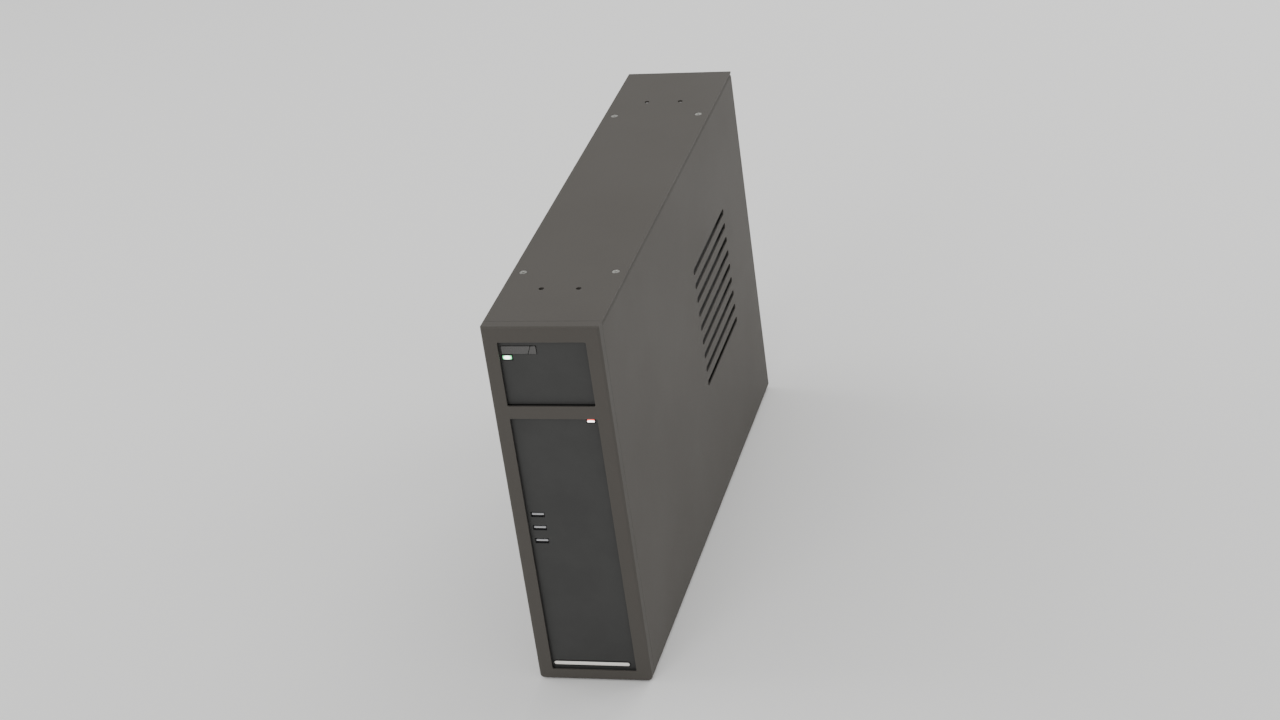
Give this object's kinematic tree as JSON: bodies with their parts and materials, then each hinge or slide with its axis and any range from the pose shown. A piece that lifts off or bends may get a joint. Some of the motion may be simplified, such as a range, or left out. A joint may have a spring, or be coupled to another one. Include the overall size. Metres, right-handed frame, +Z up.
{
  "type": "under-desk computer holder",
  "caption": "Slim steel sleeve that hangs under a desktop, with a windowed front frame and a slim computer that slides in from behind.",
  "frame": {"origin": "middle of the top plate's upper face, which is screwed against the desktop", "axes": "+X to the right of a person facing the front frame, +Y from the front frame to the open rear, +Z up"},
  "size_m": [0.112, 0.576, 0.384],
  "materials": {
    "sleeve_paint": "satin powder coat",
    "zinc": "zinc plated",
    "foam": "closed-cell foam",
    "glide_plastic": "smooth, low friction",
    "fascia_plastic": "fine moulded texture",
    "panel_plastic": "fine moulded texture",
    "pale_plastic": "smooth",
    "button_plastic": "smooth",
    "green_lens": "clear, lit from behind",
    "red_lens": "clear, lit from behind",
    "steel": "bright",
    "rubber": "matt",
    "black_plastic": "moulded",
    "circuit_board": "solder mask",
    "aluminium": "bare",
    "case_paint": "satin"
  },
  "bodies": {
    "sleeve": {"shell_wrap": "sleeve_paint", "front_frame": "sleeve_paint", "top_plate": "sleeve_paint", "top_screw_1": "zinc", "top_screw_2": "zinc", "top_screw_3": "zinc", "top_screw_4": "zinc", "clinch_nut_1": "zinc", "clinch_nut_2": "zinc", "clinch_nut_3": "zinc", "clinch_nut_4": "zinc", "floor_glide_left": "glide_plastic", "floor_glide_right": "glide_plastic", "side_pad_left_upper": "foam", "side_pad_left_lower": "foam", "side_pad_right_upper": "foam", "side_pad_right_lower": "foam", "front_bumper_left": "foam", "front_bumper_right": "foam"},
    "computer": {"pc_chassis": "case_paint", "pc_cover": "case_paint", "pc_fascia": "fascia_plastic", "upper_panel": "panel_plastic", "lower_panel": "panel_plastic", "trim_bar": "pale_plastic", "green_light": "green_lens", "red_light": "red_lens", "usb_port_1": "steel", "usb_port_2": "steel", "usb_port_3": "steel", "front_io_board": "circuit_board", "power_supply": "zinc", "mains_inlet": "black_plastic", "inlet_pin_1": "zinc", "inlet_pin_2": "zinc", "inlet_pin_3": "zinc", "main_board": "circuit_board", "cpu_cooler": "aluminium", "memory_module": "circuit_board", "hard_drive": "aluminium", "io_shield": "steel", "video_socket": "steel", "rear_usb_lower": "steel", "rear_usb_upper": "steel", "network_socket": "steel", "slot_cover_1": "steel", "slot_cover_2": "steel", "slot_cover_3": "steel", "pc_foot_1": "rubber", "pc_foot_2": "rubber", "pc_foot_3": "rubber", "pc_foot_4": "rubber", "cover_thumbscrew_1": "zinc", "cover_thumbscrew_2": "zinc"},
    "power_button": {"power_button": "button_plastic"},
    "reset_button": {"reset_button": "button_plastic"},
    "psu_fan": {"psu_fan": "black_plastic"},
    "cpu_fan": {"cpu_fan": "black_plastic"}
  },
  "joints": [
    {"name": "computer_slide", "type": "slide", "parent": "sleeve", "child": "computer", "axis": [0, 1, 0], "range_m": [0, 0.58]},
    {"name": "power_press", "type": "slide", "parent": "computer", "child": "power_button", "axis": [0, 1, 0], "range_m": [0, 0.0012], "stiffness_N_per_m": 900, "springref_m": -0.0008},
    {"name": "reset_press", "type": "slide", "parent": "computer", "child": "reset_button", "axis": [0, 1, 0], "range_m": [0, 0.0012], "stiffness_N_per_m": 900, "springref_m": -0.0008},
    {"name": "psu_fan_spin", "type": "hinge", "parent": "computer", "child": "psu_fan", "pos_m": [0.013, 0.2065, -0.0492], "axis": [0, 1, 0], "continuous": true},
    {"name": "cpu_fan_spin", "type": "hinge", "parent": "computer", "child": "cpu_fan", "pos_m": [0.0006, 0.1208, -0.1802], "axis": [1, 0, 0], "continuous": true}
  ]
}
